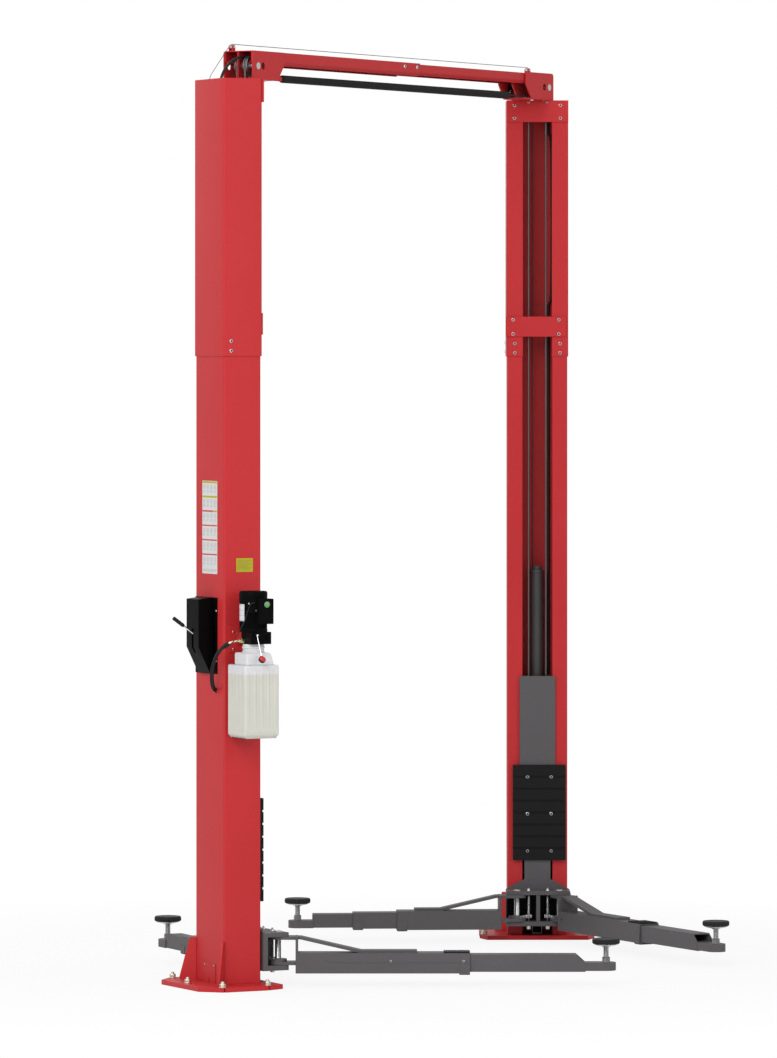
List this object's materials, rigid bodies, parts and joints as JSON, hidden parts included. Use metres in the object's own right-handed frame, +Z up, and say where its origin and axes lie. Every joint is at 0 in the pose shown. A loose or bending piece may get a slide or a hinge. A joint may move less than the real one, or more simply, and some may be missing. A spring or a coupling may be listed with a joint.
{
  "type": "two post car lift",
  "caption": "Two post vehicle lift with an overhead crossbeam, turned posts, sliding carriages and telescopic swing arms with screw pads.",
  "frame": {"origin": "centre of the left post on the floor face of its foot plate", "axes": "+Z up along the posts, +X from the left post to the right post, +Y to the back of the bay"},
  "size_m": [3.2164, 2.2998, 3.9935],
  "materials": {
    "red_paint": "orange-peel gloss",
    "grey_paint": "satin",
    "black_paint": "satin",
    "cylinder_paint": "gloss",
    "zinc_plate": "bright",
    "steel_wire": "stranded",
    "lever_steel": "bright",
    "cast_sheave": "turned",
    "pad_steel": "rubber faced",
    "hose_rubber": "satin",
    "bar_foam": "matte",
    "guard_rubber": "matte",
    "tank_plastic": "translucent",
    "notice_film": "satin"
  },
  "bodies": {
    "frame": {"left_base_plate": "red_paint", "right_base_plate": "red_paint", "left_lower_column": "red_paint", "right_lower_column": "red_paint", "left_upper_column": "red_paint", "right_upper_column": "red_paint", "tie_plates": "red_paint", "head_plates": "red_paint", "left_head_bracket": "red_paint", "right_head_bracket": "red_paint", "left_crossbeam": "red_paint", "right_crossbeam": "red_paint", "sheave_pins": "zinc_plate", "release_pulleys": "zinc_plate", "release_wire": "steel_wire", "equalizing_cables": "steel_wire", "lock_ladders": "red_paint", "access_covers": "red_paint", "notice_plates": "notice_film", "limit_switch": "black_paint", "lock_box": "black_paint", "pump_mount": "red_paint", "motor": "black_paint", "switch_box": "black_paint", "pump_block": "black_paint", "oil_tank": "tank_plastic", "pressure_hose": "hose_rubber", "top_hose": "hose_rubber", "piston_rods": "zinc_plate"},
    "limit_bar": {"limit_bar": "bar_foam"},
    "lock_lever": {"lock_lever": "lever_steel"},
    "valve_lever": {"valve_lever": "lever_steel"},
    "left_front_sheave": {"left_front_sheave": "cast_sheave"},
    "left_back_sheave": {"left_back_sheave": "cast_sheave"},
    "left_carriage": {"left_carriage": "grey_paint", "left_yoke": "grey_paint", "left_cylinder": "cylinder_paint", "left_door_guard": "guard_rubber"},
    "near_left_arm": {"near_left_arm": "grey_paint"},
    "near_left_extension": {"near_left_extension": "grey_paint"},
    "near_left_pad": {"near_left_pad": "pad_steel"},
    "far_left_arm": {"far_left_arm": "grey_paint"},
    "far_left_middle": {"far_left_middle": "grey_paint"},
    "far_left_extension": {"far_left_extension": "grey_paint"},
    "far_left_pad": {"far_left_pad": "pad_steel"},
    "right_front_sheave": {"right_front_sheave": "cast_sheave"},
    "right_back_sheave": {"right_back_sheave": "cast_sheave"},
    "right_carriage": {"right_carriage": "grey_paint", "right_yoke": "grey_paint", "right_cylinder": "cylinder_paint", "right_door_guard": "guard_rubber"},
    "near_right_arm": {"near_right_arm": "grey_paint"},
    "near_right_extension": {"near_right_extension": "grey_paint"},
    "near_right_pad": {"near_right_pad": "pad_steel"},
    "far_right_arm": {"far_right_arm": "grey_paint"},
    "far_right_middle": {"far_right_middle": "grey_paint"},
    "far_right_extension": {"far_right_extension": "grey_paint"},
    "far_right_pad": {"far_right_pad": "pad_steel"}
  },
  "joints": [
    {"name": "left_lift", "type": "slide", "parent": "frame", "child": "left_carriage", "axis": [0, 0, 1], "range_m": [0, 1.5]},
    {"name": "right_lift", "type": "slide", "parent": "frame", "child": "right_carriage", "axis": [0, 0, 1], "range_m": [0, 1.5]},
    {"name": "near_left_swing", "type": "hinge", "parent": "left_carriage", "child": "near_left_arm", "pos_m": [0.10971, -0.17982, 0.15], "axis": [0, 0, 1], "range_deg": [-62, 23]},
    {"name": "near_left_reach", "type": "slide", "parent": "near_left_arm", "child": "near_left_extension", "axis": [0.515, -0.8572, 0], "range_m": [-0.4, 0]},
    {"name": "near_left_screw", "type": "slide", "parent": "near_left_extension", "child": "near_left_pad", "axis": [0, 0, 1], "range_m": [-0.035, 0.04]},
    {"name": "far_left_swing", "type": "hinge", "parent": "left_carriage", "child": "far_left_arm", "pos_m": [0.21003, -0.01612, 0.15], "axis": [0, 0, 1], "range_deg": [-45.5, 3.5]},
    {"name": "far_left_middle_reach", "type": "slide", "parent": "far_left_arm", "child": "far_left_middle", "axis": [0.5664, 0.8241, 0], "range_m": [-0.12, 0]},
    {"name": "far_left_reach", "type": "slide", "parent": "far_left_middle", "child": "far_left_extension", "axis": [0.5664, 0.8241, 0], "range_m": [-0.12, 0]},
    {"name": "far_left_screw", "type": "slide", "parent": "far_left_extension", "child": "far_left_pad", "axis": [0, 0, 1], "range_m": [-0.035, 0.04]},
    {"name": "left_front_sheave_turn", "type": "hinge", "parent": "frame", "child": "left_front_sheave", "pos_m": [0.07026, -0.06546, 3.898], "axis": [0, 1, 0], "continuous": true},
    {"name": "left_back_sheave_turn", "type": "hinge", "parent": "frame", "child": "left_back_sheave", "pos_m": [0.11206, 0.00276, 3.898], "axis": [0, 1, 0], "continuous": true},
    {"name": "near_right_swing", "type": "hinge", "parent": "right_carriage", "child": "near_right_arm", "pos_m": [2.53029, -0.17982, 0.15], "axis": [0, 0, -1], "range_deg": [-62, 23]},
    {"name": "near_right_reach", "type": "slide", "parent": "near_right_arm", "child": "near_right_extension", "axis": [-0.515, -0.8572, 0], "range_m": [-0.4, 0]},
    {"name": "near_right_screw", "type": "slide", "parent": "near_right_extension", "child": "near_right_pad", "axis": [0, 0, 1], "range_m": [-0.035, 0.04]},
    {"name": "far_right_swing", "type": "hinge", "parent": "right_carriage", "child": "far_right_arm", "pos_m": [2.42997, -0.01612, 0.15], "axis": [0, 0, -1], "range_deg": [-45.5, 3.5]},
    {"name": "far_right_middle_reach", "type": "slide", "parent": "far_right_arm", "child": "far_right_middle", "axis": [-0.5664, 0.8241, 0], "range_m": [-0.12, 0]},
    {"name": "far_right_reach", "type": "slide", "parent": "far_right_middle", "child": "far_right_extension", "axis": [-0.5664, 0.8241, 0], "range_m": [-0.12, 0]},
    {"name": "far_right_screw", "type": "slide", "parent": "far_right_extension", "child": "far_right_pad", "axis": [0, 0, 1], "range_m": [-0.035, 0.04]},
    {"name": "right_front_sheave_turn", "type": "hinge", "parent": "frame", "child": "right_front_sheave", "pos_m": [2.56974, -0.06546, 3.898], "axis": [0, 1, 0], "continuous": true},
    {"name": "right_back_sheave_turn", "type": "hinge", "parent": "frame", "child": "right_back_sheave", "pos_m": [2.52794, 0.00276, 3.898], "axis": [0, 1, 0], "continuous": true},
    {"name": "bar_swing", "type": "hinge", "parent": "frame", "child": "limit_bar", "pos_m": [0.266, -0.09, 3.85], "axis": [0, -1, 0], "range_deg": [0, 0.8]},
    {"name": "lock_pull", "type": "hinge", "parent": "frame", "child": "lock_lever", "pos_m": [-0.08226, 0.08442, 1.469], "axis": [-0.5225, -0.8526, 0], "range_deg": [0, 25]},
    {"name": "valve_press", "type": "hinge", "parent": "frame", "child": "valve_lever", "pos_m": [-0.17051, -0.25146, 1.497], "axis": [0.8526, -0.5225, 0], "range_deg": [-12, 3]}
  ],
  "couplings": [
    {"joint": "right_lift", "follows": "left_lift", "ratio": 1}
  ]
}
